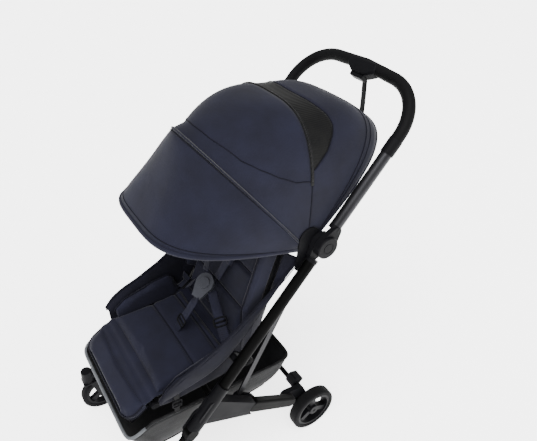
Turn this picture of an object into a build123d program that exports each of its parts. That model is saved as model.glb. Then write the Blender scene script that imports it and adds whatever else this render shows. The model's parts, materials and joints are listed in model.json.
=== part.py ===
"""Compact folding stroller, in millimetres.

The child faces -Y and +X is the child's left. A straight main tube on each side rises
backwards at tube_slope through the hub, where the handle folds forwards. Rear legs and
front legs hinge on the junction castings. Side profiles are drawn as (back from the hub,
height), so every part shares one side view.
"""

import os
from math import cos, pi, radians, sin

from build123d import *

os.makedirs("parts", exist_ok=True)

# Overall size and main tube
length = 850
hub_z = 689
tube_slope = 48
track = 204
main_tube_r = 13.5
upper_tube_r = 14
wall = 1.6

# Hub, measured along the tube from its axis
hub_r = 28
hub_gap = 1
hub_pin_r = 6
socket_r = 14.5
upper_seam = 54
lower_seam = -49
running_gap = 0.05

# Handle, measured along the tube
collar_low, collar_high = 247, 285
collar_r = 16
grip_r = 15
grip_corner = 399
grip_corner_r = 112
grip_top = 411

# Junction casting, measured along the tube
junction_top, junction_low = -418.6, -548
junction_r = 17
rear_pivot = (-197, 236)
strut_pivot = (-233, 279)
front_pivot_s = -564
front_leg_end = -705

# Strut between the rear leg's crank and the inside of the main tube
strut_slope = 61
strut_length = 360

# Lateral layers, as (inner, outer) distances from the centre plane
tube_layer = (192, 216)
casting_layer = (191.5, 218.5)
ear_layer = (184.5, 191.5)
crank_layer = (177, 184)
strut_layer = (184.3, 188.3)
canopy_plate_layer = (186.4, 189.2)
fabric_side_layer = (176.2, 179.8)
bolster_layer = (150, 164)
bracket_layer = (168, 175)

# Wheels
rear_wheel_r, rear_tyre_width = 71, 32
front_wheel_r, front_tyre_width = 62.5, 26
axle_r = 5
rear_wheel_x = 209
front_trail = 30
swivel_r = 8
swivel_z = (132, 172)
rear_arm_end = (-79, 160)
axle_bar = (-31, 152)

# Seat
seat_front, seat_back = -430, -215
seat_top = 392
cushion_thickness = 30
seat_half_width = 145
board_half_width = 149
board_thickness = 8
recline_pivot = (-190, 375)
back_slope = 70
back_length = 420
legrest_pivot = (-438, 362)
legrest_slope = 30
legrest_length = 76
cross_bar_place = (-310, 344)
bracket_stub = (-235, 428)

# Canopy: each bow is a superellipse arch on a plane through the canopy pivot
canopy_pivot = (-33, 678)
canopy_half_width = 186
canopy_cloth = 2.5
bow_inset = 9.5
front_bow = (16.3, 345, 3.87)
ridge_bow = (53.3, 344, 1.8)
middle_bow = (94.4, 311, 3.28)
rear_seam = (128.9, 332, 3.75)
rear_hem = (136.6, 346, 3.68)

# Basket
basket_half_width = 172
basket_cloth = 3

run, rise = cos(radians(tube_slope)), sin(radians(tube_slope))
hub_y = length / 2 - grip_top * run - grip_r
sides = (("left", 1), ("right", -1))


def side(x):
    """Side plane at x, with its own x running back from the hub and its y upwards."""
    return Plane(origin=(x, hub_y, 0), x_dir=(0, 1, 0), z_dir=(1, 0, 0))


def on_tube(s):
    """Side-view point on the main tube's centreline, s above the hub."""
    return (s * run, hub_z + s * rise)


def place(x, point):
    """Space point from a side-view point."""
    return Vector(x, hub_y + point[0], point[1])


def beyond(point, slope, distance):
    """Side-view point at a distance from another, along a slope above +Y."""
    return (point[0] + distance * cos(radians(slope)), point[1] + distance * sin(radians(slope)))


def save(part, label):
    part.label = label
    export_step(part, f"parts/{label}.step")


def rod(start, end, radius, bore=0):
    """Round bar, or tube with a bore, between two space points."""
    with BuildPart() as bar:
        with BuildSketch(Plane(origin=start, z_dir=end - start)):
            Circle(radius)
            if bore:
                Circle(bore, mode=Mode.SUBTRACT)
        extrude(amount=(end - start).length)
    return bar.part


def link(sign, layer, *discs, bores=()):
    """Flat link: the hull of (point, radius) discs across a layer, with round bores."""
    with BuildPart() as plate:
        with BuildSketch(side(sign * layer[0])):
            for point, radius in discs:
                with Locations(point):
                    Circle(radius)
            if len(discs) > 1:
                make_hull()
            for point, radius in bores:
                with Locations(point):
                    Circle(radius, mode=Mode.SUBTRACT)
        extrude(amount=sign * (layer[1] - layer[0]))
    return plate.part


def panel(x0, x1, *points):
    """Flat panel with a polygonal side profile from x0 to x1."""
    with BuildPart() as sheet:
        with BuildSketch(side(x0)):
            Polygon(*points, align=None)
        extrude(amount=x1 - x0)
    return sheet.part


def cross_pin(sign, layer, point, radius):
    """Round pin along X at a side-view point."""
    return link(sign, layer, (point, radius))


# ---- Main tubes and hubs -------------------------------------------------------------

hub_split = (track - hub_gap / 2, track + hub_gap / 2)
hub_layer = (190.5, 218)
front_pivot = on_tube(front_pivot_s)

for name, sign in sides:
    x = sign * track
    tube = rod(place(x, on_tube(lower_seam)), place(x, on_tube(junction_top)), main_tube_r,
               main_tube_r - wall)
    save(tube, f"main_tube_{name}")

with BuildPart() as hub_bases:
    for name, sign in sides:
        x = sign * track
        add(link(sign, (hub_layer[0], hub_split[0]), ((0, hub_z), hub_r), (on_tube(-35), 13)))
        add(rod(place(x, on_tube(-40)), place(x, on_tube(lower_seam)), socket_r))
        add(cross_pin(sign, hub_layer, (0, hub_z), hub_pin_r))
save(hub_bases.part, "hub_bases")

with BuildPart() as hub_arms:
    for name, sign in sides:
        x = sign * track
        add(link(sign, (hub_split[1], hub_layer[1]), ((0, hub_z), hub_r), (on_tube(39.5), 14.4),
                 bores=[((0, hub_z), hub_pin_r + running_gap)]))
        add(rod(place(x, on_tube(42.5)), place(x, on_tube(upper_seam)), socket_r))
save(hub_arms.part, "hub_arms")

with BuildPart() as upper_tubes:
    for name, sign in sides:
        x = sign * track
        add(rod(place(x, on_tube(upper_seam)), place(x, on_tube(collar_low)), upper_tube_r,
                upper_tube_r - wall))
save(upper_tubes.part, "upper_tubes")

with BuildPart() as hub_caps:
    for name, sign in sides:
        with BuildSketch(side(sign * (hub_layer[1] + 0.1))):
            with Locations((0, hub_z)):
                Circle(hub_r)
        extrude(amount=sign * 6.5)
        fillet(hub_caps.faces().sort_by(Axis.X)[-1 if sign > 0 else 0].edges(), 3)
        with BuildSketch(side(sign * (hub_layer[1] + 5.6))):
            with Locations((0, hub_z)):
                Circle(14)
                Circle(12, mode=Mode.SUBTRACT)
        extrude(amount=sign * 2, mode=Mode.SUBTRACT)
save(hub_caps.part, "hub_caps")

with BuildPart() as collars:
    for name, sign in sides:
        x = sign * track
        add(rod(place(x, on_tube(collar_low)), place(x, on_tube(collar_high)), collar_r))
save(collars.part, "handle_collars")

# ---- Handle --------------------------------------------------------------------------

handle_plane = Plane(origin=(0, hub_y, hub_z), x_dir=(1, 0, 0), z_dir=(0, -rise, run))

with BuildPart() as handle_grip:
    for name, sign in sides:
        with BuildLine(handle_plane) as grip_path:
            FilletPolyline((sign * track, collar_high), (sign * track, grip_corner),
                           (0, grip_top), radius=grip_corner_r)
        with BuildSketch(Plane(origin=grip_path.line @ 0, z_dir=grip_path.line % 0)):
            Circle(grip_r)
        sweep(path=grip_path.line)
save(handle_grip.part, "handle_grip")

pod_depth = 16
bar_drop = (grip_top - grip_corner) / track
button_half_width = 22
button_travel = 4
with BuildPart() as release_housing:
    with BuildSketch(handle_plane.offset(-pod_depth)):
        for x, s, radius in ((34, 404, 15), (-34, 404, 15), (20, 390, 10), (-20, 390, 10)):
            with Locations((x, s)):
                Circle(radius)
        make_hull()
    extrude(amount=2 * pod_depth)
    fillet(release_housing.faces().filter_by(Axis((0, 0, 0), handle_plane.z_dir)).edges(), 7)
    with BuildSketch(handle_plane.offset(-10.4)):
        with Locations((0, 382)):
            Rectangle(2 * button_half_width + 0.8, 18)
    extrude(amount=20.8, mode=Mode.SUBTRACT)
    crown = handle_plane.from_local_coords(Vector(0, grip_top, 0))
    for _, sign in sides:
        outside = handle_plane.from_local_coords(Vector(sign * 60, grip_top - 60 * bar_drop, 0))
        add(rod(crown, outside, grip_r + 0.1), mode=Mode.SUBTRACT)
save(release_housing.part, "release_housing")

with BuildPart() as release_button:
    with BuildSketch(handle_plane.offset(-10)):
        with Locations((0, 378)):
            RectangleRounded(2 * button_half_width, 14, 4)
    extrude(amount=20)
save(release_button.part, "release_button")

strap_top, strap_low = 958, 800
strap_width, strap_thickness = 18, 3
with BuildPart() as handle_strap:
    with Locations((0, hub_y + grip_top * run, (strap_top + strap_low) / 2)):
        Box(strap_width, strap_thickness, strap_top - strap_low)
save(handle_strap.part, "handle_strap")

# ---- Junction castings and legs ------------------------------------------------------

knuckle_r = 19
knuckle_gap = 0.7
folded_arm_slope = 43
front_knuckle_r = 16
swivel_y = -length / 2 + front_wheel_r - front_trail
swivel_place = (swivel_y - hub_y, 0)
front_axle = (swivel_place[0] + front_trail, front_wheel_r)
rear_axle = (0, rear_wheel_r)
strut_top = beyond(strut_pivot, strut_slope, strut_length)

for name, sign in sides:
    x = sign * track
    with BuildPart() as junction:
        add(rod(place(x, on_tube(junction_top)), place(x, on_tube(junction_low - 8)), junction_r))
        with BuildSketch(side(sign * casting_layer[0])):
            for point, radius in ((on_tube(-470), 15), (on_tube(-512), 15), (rear_pivot, 18)):
                with Locations(point):
                    Circle(radius)
            make_hull()
        extrude(amount=sign * (casting_layer[1] - casting_layer[0]))
        add(link(sign, ear_layer, (rear_pivot, 14), (beyond(rear_pivot, 112, 24), 11)))
        add(link(sign, ear_layer, (front_pivot, 14), (on_tube(-520), 14)))
        for point, radius in ((rear_pivot, knuckle_r), (front_pivot, front_knuckle_r)):
            with BuildSketch(side(sign * ear_layer[1])):
                with Locations(point):
                    Circle(radius + knuckle_gap)
            extrude(amount=sign * 30, mode=Mode.SUBTRACT)
            with BuildSketch(side(sign * (ear_layer[0] - 3))):
                with Locations(point):
                    Circle(axle_r + running_gap)
            extrude(amount=sign * 15, mode=Mode.SUBTRACT)
        add(link(sign, (ear_layer[1], 220), (rear_pivot, knuckle_r + knuckle_gap),
                 (beyond(rear_pivot, folded_arm_slope, 70), knuckle_r + knuckle_gap)),
            mode=Mode.SUBTRACT)
    save(junction.part, f"junction_{name}")

    with BuildPart() as rear_arm:
        add(link(sign, tube_layer, (rear_pivot, knuckle_r), (rear_arm_end, 16)))
        fillet(rear_arm.faces().filter_by(Axis.X).edges(), 6)
    save(rear_arm.part, f"rear_arm_{name}")

    with BuildPart() as front_leg:
        add(rod(place(x, beyond(front_pivot, tube_slope + 180, 18)), place(x, on_tube(front_leg_end)),
                main_tube_r))
        add(link(sign, tube_layer, (front_pivot, front_knuckle_r),
                 (beyond(front_pivot, tube_slope + 180, 14), main_tube_r - 1)))
        add(cross_pin(sign, (ear_layer[0] - 1, tube_layer[0]), front_pivot, axle_r))
    save(front_leg.part, f"front_leg_{name}")

with BuildPart() as struts:
    for name, sign in sides:
        add(link(sign, strut_layer, (strut_pivot, 7.5), (strut_top, 7.5),
                 bores=[(strut_pivot, 4 + running_gap)]))
save(struts.part, "struts")

with BuildPart() as caster_housings:
    for name, sign in sides:
        x = sign * track
        with BuildSketch(Plane(origin=(x, swivel_y, swivel_z[0]))):
            Circle(18)
        with BuildSketch(Plane(origin=(x, swivel_y, swivel_z[1]))):
            Circle(15)
        loft()
        with BuildSketch(Plane(origin=place(x, on_tube(front_leg_end)), z_dir=(0, -run, -rise))):
            Circle(main_tube_r + 1.5)
        with BuildSketch(Plane(origin=(x, swivel_y + 8, 150), z_dir=(0, -1, 0))):
            Circle(14)
        loft()
        with BuildSketch(Plane(origin=(x, swivel_y, swivel_z[0]))):
            Circle(swivel_r + running_gap)
        extrude(amount=28, mode=Mode.SUBTRACT)
save(caster_housings.part, "caster_housings")

with BuildPart() as leg_cranks:
    for name, sign in sides:
        add(link(sign, crank_layer, (rear_pivot, 13), (strut_pivot, 10)))
        add(cross_pin(sign, (crank_layer[1], tube_layer[0]), rear_pivot, axle_r))
        add(cross_pin(sign, (crank_layer[1], strut_layer[1] + 0.4), strut_pivot, 4))
        add(cross_pin(sign, (strut_layer[1] + 0.4, strut_layer[1] + 2.6), strut_pivot, 8))
save(leg_cranks.part, "leg_cranks")

with BuildPart() as cross_bar:
    add(rod(place(-184, cross_bar_place), place(184, cross_bar_place), 8))
save(cross_bar.part, "cross_bar")

with BuildPart() as rear_brackets:
    for name, sign in sides:
        add(link(sign, (175, 190), (rear_arm_end, 14), (axle_bar, 13), (rear_axle, 13)))
        add(cross_pin(sign, (190, tube_layer[0]), rear_arm_end, 12))
        add(cross_pin(sign, (190, 223), rear_axle, axle_r))
save(rear_brackets.part, "rear_brackets")

with BuildPart() as axle_tube:
    add(rod(place(-175, axle_bar), place(175, axle_bar), 7))
save(axle_tube.part, "axle_bar")

with BuildPart() as brake_pedal:
    with BuildSketch(side(134)):
        with Locations(axle_bar):
            Circle(12)
        with Locations(beyond(axle_bar, 75, 16)):
            Circle(6)
        with Locations(beyond(axle_bar, 25, 24)):
            Circle(5)
        make_hull()
        with Locations(axle_bar):
            Circle(7 + running_gap, mode=Mode.SUBTRACT)
    extrude(amount=34)
    fillet(brake_pedal.faces().filter_by(Axis.X).edges(), 2)
save(brake_pedal.part, "brake_pedal")

# ---- Wheels --------------------------------------------------------------------------

def wheel(x, axle, radius, width, tyre_depth, bore):
    """Three-spoke wheel on an X axle, as its hub and its tyre."""
    rim_r = radius - tyre_depth
    with BuildPart() as hub:
        with BuildSketch(side(x - width / 2 + 2)):
            with Locations(axle):
                Circle(rim_r)
                Circle(rim_r - 8, mode=Mode.SUBTRACT)
        extrude(amount=width - 4)
        with BuildSketch(side(x - width / 2 + 1)):
            with Locations(axle):
                Circle(15)
        extrude(amount=width - 2)
        with BuildSketch(side(x - width / 2 + 7)):
            with Locations(axle):
                with PolarLocations(0, 3, start_angle=90):
                    Trapezoid(2 * rim_r - 14, 16, 80, align=(Align.MIN, Align.CENTER))
                Circle(rim_r - 2, mode=Mode.INTERSECT)
        extrude(amount=width - 14)
        with BuildSketch(side(x - width / 2)):
            with Locations(axle):
                Circle(bore)
        extrude(amount=width, mode=Mode.SUBTRACT)
    with BuildPart() as tyre:
        with BuildSketch(side(x - width / 2)):
            with Locations(axle):
                Circle(radius)
                Circle(rim_r, mode=Mode.SUBTRACT)
        extrude(amount=width)
        edges = tyre.edges().filter_by(GeomType.CIRCLE).sort_by(SortBy.RADIUS)[-2:]
        fillet(edges, 6)
    return hub.part, tyre.part


for name, sign in sides:
    hub, tyre = wheel(sign * rear_wheel_x, rear_axle, rear_wheel_r, rear_tyre_width, 13,
                      axle_r + running_gap)
    save(hub, f"rear_wheel_{name}")
    save(tyre, f"rear_tyre_{name}")
    hub, tyre = wheel(sign * track, front_axle, front_wheel_r, front_tyre_width, 12,
                      axle_r + running_gap)
    save(hub, f"front_wheel_{name}")
    save(tyre, f"front_tyre_{name}")

    x = sign * track
    with BuildPart() as fork:
        for inner, outer in ((184.5, 189.5), (218.5, 223.5)):
            add(link(sign, (inner, outer), (front_axle, 11), ((swivel_place[0] + 12, 122), 9)))
        with BuildSketch(Plane(origin=(x, swivel_y + 4, 126.5))):
            RectangleRounded(39, 44, 6)
        extrude(amount=5)
        with BuildSketch(Plane(origin=(x, swivel_y, 131))):
            Circle(swivel_r)
        extrude(amount=26)
        add(cross_pin(sign, (189.5, 218.5), front_axle, axle_r))
    save(fork.part, f"caster_fork_{name}")

# ---- Seat ----------------------------------------------------------------------------

cushion_base = seat_top - cushion_thickness
with BuildPart() as seat_board:
    add(panel(-board_half_width, board_half_width, (seat_front + 22, cushion_base - board_thickness),
              (seat_front + 22, cushion_base - 0.3), (seat_back - 6, cushion_base - 0.3),
              (seat_back - 6, cushion_base - board_thickness)))
save(seat_board.part, "seat_board")

with BuildPart() as seat_cushion:
    add(panel(-seat_half_width, seat_half_width, (seat_front, cushion_base), (seat_front, seat_top),
              (seat_back, seat_top), (seat_back, cushion_base)))
    fillet(seat_cushion.edges().filter_by(Axis.X).group_by(Axis.Z)[-1], 10)
save(seat_cushion.part, "seat_cushion")

with BuildPart() as hip_pads:
    for name, sign in sides:
        add(panel(sign * bolster_layer[0], sign * bolster_layer[1], (-396, 364), (-400, 404),
                  (-372, 432), (-300, 450), (-250, 452), (-232, 436), (-218, 396), (-222, 364)))
save(hip_pads.part, "hip_pads")

with BuildPart() as side_cloths:
    for name, sign in sides:
        add(panel(sign * fabric_side_layer[0], sign * fabric_side_layer[1], (-50, 650), (-144, 571),
                  (-256, 493), (-335, 455), (-430, 418), (-430, 402), (-350, 408), (-290, 420),
                  (-250, 442), (-200, 488), (-100, 599), (-64, 637)))
save(side_cloths.part, "side_cloths")

board_pin = (-260, 358)
with BuildPart() as seat_brackets:
    for name, sign in sides:
        bore = [(recline_pivot, axle_r + running_gap)]
        add(link(sign, bracket_layer, (recline_pivot, 13), (bracket_stub, 11), bores=bore))
        add(link(sign, bracket_layer, (recline_pivot, 8), (board_pin, 4), bores=bore))
        add(cross_pin(sign, (bracket_layer[1], track - main_tube_r), bracket_stub, 8))
        add(cross_pin(sign, (board_half_width, bracket_layer[0]), board_pin, 3.5))
save(seat_brackets.part, "seat_brackets")

back_foot = beyond(recline_pivot, back_slope, 26)
back_normal = back_slope + 90


def back_point(up, forward):
    """Side-view point on the backrest, up its slope and forward of its board's front."""
    return beyond(beyond(back_foot, back_slope, up), back_normal, forward)


with BuildPart() as back_board:
    add(panel(-160, 160, back_point(0, -8), back_point(0, 0), back_point(back_length, 0),
              back_point(back_length, -8)))
    for name, sign in sides:
        add(link(sign, (158, 166), (recline_pivot, 10), (back_point(20, -4), 4)))
        add(cross_pin(sign, (166, 176.6), recline_pivot, axle_r))
save(back_board.part, "back_board")

with BuildPart() as back_cushion:
    add(panel(-138, 138, back_point(4, 0.3), back_point(4, 24), back_point(back_length, 24),
              back_point(back_length, 0.3)))
save(back_cushion.part, "back_cushion")

with BuildPart() as back_bolsters:
    for name, sign in sides:
        add(panel(sign * 141, sign * 156, back_point(48, 0.3), back_point(60, 40),
                  back_point(130, 62), back_point(300, 62), back_point(380, 40), back_point(400, 0.3)))
save(back_bolsters.part, "back_bolsters")

leg_slope = legrest_slope + 180
legrest_pin_r = 4
pad_start = 10
with BuildPart() as legrest_board:
    corner = beyond(legrest_pivot, leg_slope, 14)
    toe = beyond(legrest_pivot, leg_slope, legrest_length - 8)
    add(panel(-138, 138, corner, toe, beyond(toe, leg_slope + 90, 6), beyond(corner, leg_slope + 90, 6)))
    for name, sign in sides:
        add(link(sign, (132, 138), (legrest_pivot, 6), (beyond(legrest_pivot, leg_slope + 30, 24), 4)))
        add(cross_pin(sign, (138, 156), legrest_pivot, legrest_pin_r))
save(legrest_board.part, "legrest_board")

legrest_plane = Plane(origin=place(0, beyond(legrest_pivot, leg_slope - 90, 0.4)), x_dir=(1, 0, 0),
                      z_dir=(0, -sin(radians(legrest_slope)), cos(radians(legrest_slope))))
with BuildPart() as legrest_pad:
    with BuildSketch(legrest_plane):
        with BuildLine():
            FilletPolyline((-149, -pad_start), (-149, -legrest_length), (149, -legrest_length),
                           (149, -pad_start), radius=36)
            Line((149, -pad_start), (-149, -pad_start))
        make_face()
    extrude(amount=24)
save(legrest_pad.part, "legrest_pad")

with BuildPart() as legrest_hinges:
    for name, sign in sides:
        add(link(sign, (board_half_width, 155), (legrest_pivot, 8), ((-380, 357.5), 3.5),
                 bores=[(legrest_pivot, legrest_pin_r + running_gap)]))
save(legrest_hinges.part, "legrest_hinges")

# ---- Harness -------------------------------------------------------------------------

buckle_plane = Plane(origin=place(0, (-207, 516)), x_dir=(0.9, 0.3, -0.08), z_dir=(0.25, -0.57, 0.78))
buckle_r = 26
with BuildPart() as harness_buckle:
    with BuildSketch(buckle_plane):
        Circle(buckle_r)
        with Locations((0, -38)):
            Rectangle(26, 10)
        make_hull()
    extrude(amount=10)
    with BuildSketch(buckle_plane.offset(6)):
        Circle(15.4)
    extrude(amount=4, mode=Mode.SUBTRACT)
save(harness_buckle.part, "harness_buckle")

with BuildPart() as buckle_button:
    with BuildSketch(buckle_plane.offset(8.6)):
        Circle(15)
    extrude(amount=4)
    fillet(buckle_button.faces().sort_by(Axis(buckle_plane.origin, buckle_plane.z_dir))[-1].edges(), 1.2)
save(buckle_button.part, "buckle_button")


def webbing(start, end, width, thickness=2):
    """Flat strap between two space points, with its width across the run."""
    direction = end - start
    across = direction.cross(Vector(0, 0, 1))
    with BuildPart() as strap:
        with BuildSketch(Plane(origin=start, x_dir=across, z_dir=direction)):
            Rectangle(width, thickness)
        extrude(amount=direction.length)
    return strap.part


def on_buckle(x, y):
    """Space point at the middle of the buckle's thickness."""
    return buckle_plane.from_local_coords(Vector(x, y, 5))


with BuildPart() as crotch_strap:
    add(webbing(place(0, (-312, 394)), on_buckle(0, -49), 25))
save(crotch_strap.part, "crotch_strap")

with BuildPart() as waist_straps:
    for name, sign in sides:
        add(webbing(place(sign * 128, (-226, 432)), on_buckle(sign * 33, -8), 25))
save(waist_straps.part, "waist_straps")

with BuildPart() as shoulder_straps:
    for name, sign in sides:
        add(webbing(place(sign * 58, back_point(300, 44)), on_buckle(sign * 20, 31), 32, 6))
save(shoulder_straps.part, "shoulder_straps")

# ---- Canopy --------------------------------------------------------------------------

def bow_plane(angle):
    """Plane of a bow: x across the seat and y out from the canopy pivot."""
    c, s = cos(radians(angle)), sin(radians(angle))
    return Plane(origin=place(0, canopy_pivot), x_dir=(1, 0, 0), z_dir=(0, -s, -c))


def arch(half_width, radius, power, start, count=17):
    """Points of a superellipse arch from one side to the other, from height start."""
    first = (start / radius) ** (power / 2)
    points = []
    for i in range(count):
        t = first + (pi - 2 * first) * i / (count - 1)
        c, s = cos(t), sin(t)
        across = half_width * abs(c) ** (2 / power) * (1 if c > 0 else -1)
        points.append((across if abs(c) > 1e-6 else 0, radius * s ** (2 / power)))
    return points


with BuildPart() as canopy_mounts:
    for name, sign in sides:
        add(link(sign, canopy_plate_layer, ((-27, 708), 29), ((-56, 636), 10)))
        add(cross_pin(sign, (168.5, canopy_plate_layer[0]), canopy_pivot, 4))
save(canopy_mounts.part, "canopy_mounts")

bows = (("front", front_bow, 171.5), ("ridge", ridge_bow, 177.5), ("middle", middle_bow, 181))
bow_width, bow_thickness = 8, 3
for name, (angle, radius, power), half_width in bows:
    with BuildPart() as bow:
        with BuildLine(bow_plane(angle)) as bow_path:
            Polyline((half_width, 7), *arch(half_width, radius - bow_inset, power, 30, 25),
                     (-half_width, 7))
        with BuildSketch(Plane(origin=bow_path.line @ 0, x_dir=(1, 0, 0), z_dir=bow_path.line % 0)):
            Rectangle(bow_thickness, bow_width)
        sweep(path=bow_path.line, transition=Transition.RIGHT)
        for _, sign in sides:
            layer = (half_width - bow_thickness / 2, half_width + bow_thickness / 2)
            add(link(sign, layer, (canopy_pivot, 9)))
        for _, sign in sides:
            with BuildSketch(side(sign * (half_width - 4))):
                with Locations(canopy_pivot):
                    Circle(4 + running_gap)
            extrude(amount=sign * 8, mode=Mode.SUBTRACT)
    save(bow.part, f"canopy_{name}_bow")


def canopy_panel(first, last):
    """Cloth between two bows, lofted through three arch-shaped bands."""
    with BuildPart() as cloth:
        for share in (0, 0.5, 1):
            angle = first[0] + 0.3 + (last[0] - first[0] - 0.6) * share
            radius = first[1] + (last[1] - first[1]) * share
            power = first[2] + (last[2] - first[2]) * share
            outer = arch(canopy_half_width, radius, power, 48)
            inner = arch(canopy_half_width - canopy_cloth, radius - canopy_cloth, power, 48)[::-1]
            with BuildSketch(bow_plane(angle)):
                with BuildLine():
                    Spline(*outer)
                    Line(outer[-1], inner[0])
                    Spline(*inner)
                    Line(inner[-1], outer[0])
                make_face()
        loft()
    return cloth.part


save(canopy_panel(front_bow, ridge_bow), "canopy_visor")
save(canopy_panel(ridge_bow, middle_bow), "canopy_roof")
save(canopy_panel(middle_bow, rear_seam), "canopy_window")
save(canopy_panel(rear_seam, rear_hem), "canopy_rear")

# ---- Basket --------------------------------------------------------------------------

with BuildPart() as basket:
    add(panel(-basket_half_width, basket_half_width, (-67, 300), (-98, 222), (-150, 203),
              (-400, 193), (-468, 222), (-519, 300), (-449, 338), (-400, 330), (-330, 322)))
    top_faces = [f for f in basket.faces() if f.normal_at().Z > 0.5]
    offset(amount=-basket_cloth, openings=top_faces)
save(basket.part, "basket")
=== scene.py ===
"""Soft goods, straps, finishes and studio for the compact folding stroller.

Sizes are in metres. A side point is (back, up): back from the handle hub's axis and up
from the floor, in millimetres. The child faces -Y and +X is the child's left.
"""

import json
import math

import bpy
import numpy as np
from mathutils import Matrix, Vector
from mathutils.bvhtree import BVHTree


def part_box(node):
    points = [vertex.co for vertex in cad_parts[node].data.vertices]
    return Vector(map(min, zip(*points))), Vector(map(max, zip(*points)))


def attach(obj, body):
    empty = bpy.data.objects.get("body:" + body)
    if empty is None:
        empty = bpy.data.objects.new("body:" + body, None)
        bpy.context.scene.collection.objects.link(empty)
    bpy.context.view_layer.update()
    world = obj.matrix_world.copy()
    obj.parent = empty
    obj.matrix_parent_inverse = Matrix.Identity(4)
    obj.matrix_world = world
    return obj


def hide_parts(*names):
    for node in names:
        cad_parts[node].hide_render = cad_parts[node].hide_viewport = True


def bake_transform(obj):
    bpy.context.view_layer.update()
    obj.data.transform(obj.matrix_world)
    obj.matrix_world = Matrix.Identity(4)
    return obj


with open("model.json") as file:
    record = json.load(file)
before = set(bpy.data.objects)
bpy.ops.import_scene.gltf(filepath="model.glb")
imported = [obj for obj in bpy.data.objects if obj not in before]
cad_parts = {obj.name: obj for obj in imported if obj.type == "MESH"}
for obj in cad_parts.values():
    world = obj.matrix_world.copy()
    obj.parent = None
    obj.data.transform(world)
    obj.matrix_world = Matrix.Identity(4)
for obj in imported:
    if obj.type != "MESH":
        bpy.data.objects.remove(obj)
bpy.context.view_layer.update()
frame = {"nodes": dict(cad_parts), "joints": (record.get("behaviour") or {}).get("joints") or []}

bl_info = {
    "name": "Folding stroller soft goods",
    "version": (1, 0, 0),
    "blender": (4, 5, 0),
    "location": "View3D > Sidebar > Stroller",
    "description": "Sewn cloth, padding, straps and finishes around the stroller frame",
    "category": "Add Mesh",
}

MM = 0.001
SIDES = (("left", 1), ("right", -1))
PIVOTS = {joint["name"]: Vector(joint["pos_m"]) for joint in frame["joints"]
          if joint["type"] == "hinge"}
HUB = PIVOTS["frame_fold"]
TUBE_SLOPE = math.radians(48)
SWELL_FRAMES = 20


def linear(code):
    """Linear colour with full alpha from an sRGB hex code."""
    values = [int(code[i:i + 2], 16) / 255 for i in (1, 3, 5)]
    return tuple(v / 12.92 if v <= 0.04045 else ((v + 0.055) / 1.055) ** 2.4 for v in values) + (1,)


def at(x, side_point):
    """Space point from a sideways distance and a side point, both in millimetres."""
    return Vector((x * MM, HUB.y + side_point[0] * MM, side_point[1] * MM))


def beyond(side_point, slope, distance):
    """Side point at a distance from another along a slope in degrees above +Y."""
    turn = math.radians(slope)
    return (side_point[0] + distance * math.cos(turn), side_point[1] + distance * math.sin(turn))


# ---- Settings ------------------------------------------------------------------------

def colour(label, text, code):
    return bpy.props.FloatVectorProperty(name=label, description=text, subtype="COLOR", size=4,
                                         min=0, max=1, default=linear(code))


def distance(label, text, value):
    return bpy.props.FloatProperty(name=label, description=text, default=value, min=0,
                                   unit="LENGTH")


class STROLLER_PG_cloth(bpy.types.PropertyGroup):
    """Colours and thicknesses of the sewn cloth."""

    navy_dark: colour("Navy shade", "Darker yarn of the main cloth", "#0e0e17")
    navy_light: colour("Navy light", "Lighter yarn of the main cloth", "#161725")
    binding: colour("Binding", "Piping, hems and welts", "#06060c")
    black: colour("Black", "Basket cloth, mesh and black webbing", "#040405")
    canopy_thickness: distance("Canopy cloth", "Thickness of the canopy cloth", 0.0016)
    side_thickness: distance("Side cloth", "Thickness of the side panels", 0.0022)
    hem_radius: distance("Front hem", "Radius of the rolled hem on the front bow", 0.0052)
    piping_radius: distance("Piping", "Radius of the piping on the seat and sides", 0.0026)
    seam_radius: distance("Seam", "Radius of a raised seam on the canopy", 0.0011)


class STROLLER_PG_pads(bpy.types.PropertyGroup):
    """How the padded pieces are filled."""

    voxel: distance("Voxel", "Mesh size used for the padding", 0.005)
    inset: distance("Inset", "How far a pad starts inside its space", 0.003)
    cap: distance("Swell limit", "Furthest that a point of a pad may move", 0.009)
    pressure: bpy.props.FloatProperty(name="Pressure", description="Filling pressure", default=4,
                                      min=0, max=20)
    channel_depth: distance("Channel", "Depth of a sewn channel", 0.006)


class STROLLER_PG_hardware(bpy.types.PropertyGroup):
    """Colours of the frame, the moulded parts and the wheels."""

    coat: colour("Powder coat", "Main tubes and legs", "#030303")
    tube: colour("Anodised tube", "Upper handle tubes", "#28282a")
    moulded: colour("Moulded nylon", "Hubs, castings and brackets", "#08080a")
    grip: colour("Grip", "Foam of the handle grip", "#080809")
    buckle: colour("Buckle", "Harness buckle", "#323338")
    tyre: colour("Tyre", "Foam rubber tyres", "#0a0a0b")


class STROLLER_PG_studio(bpy.types.PropertyGroup):
    """Camera, lights and floor."""

    camera_place: bpy.props.FloatVectorProperty(
        name="Camera", description="Where the camera stands", subtype="TRANSLATION",
        default=(0.9052, -0.4831, 1.4334))
    camera_turn: bpy.props.FloatVectorProperty(
        name="Turn", description="Which way the camera looks", subtype="EULER",
        default=tuple(math.radians(a) for a in (53.85, 0, 56.27)))
    lens: bpy.props.FloatProperty(name="Lens", description="Focal length in millimetres",
                                  default=34.70, min=1)
    key_power: bpy.props.FloatProperty(name="Key", description="Overhead light", default=6.2, min=0)
    key_turn: bpy.props.FloatVectorProperty(
        name="Key direction", description="Where the overhead light comes from",
        subtype="DIRECTION", default=(0.35, -0.35, 1.0))
    fill_power: bpy.props.FloatProperty(name="Fill", description="Side softbox", default=14,
                                        min=0, unit="POWER")
    floor_glow: bpy.props.FloatProperty(name="Floor glow", description="Light through the paper",
                                        default=2.6, min=0)
    floor: colour("Floor", "Seamless paper floor", "#ffffff")
    room_light: bpy.props.FloatProperty(name="Room", description="Brightness of the room",
                                        default=0.95, min=0)


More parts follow.
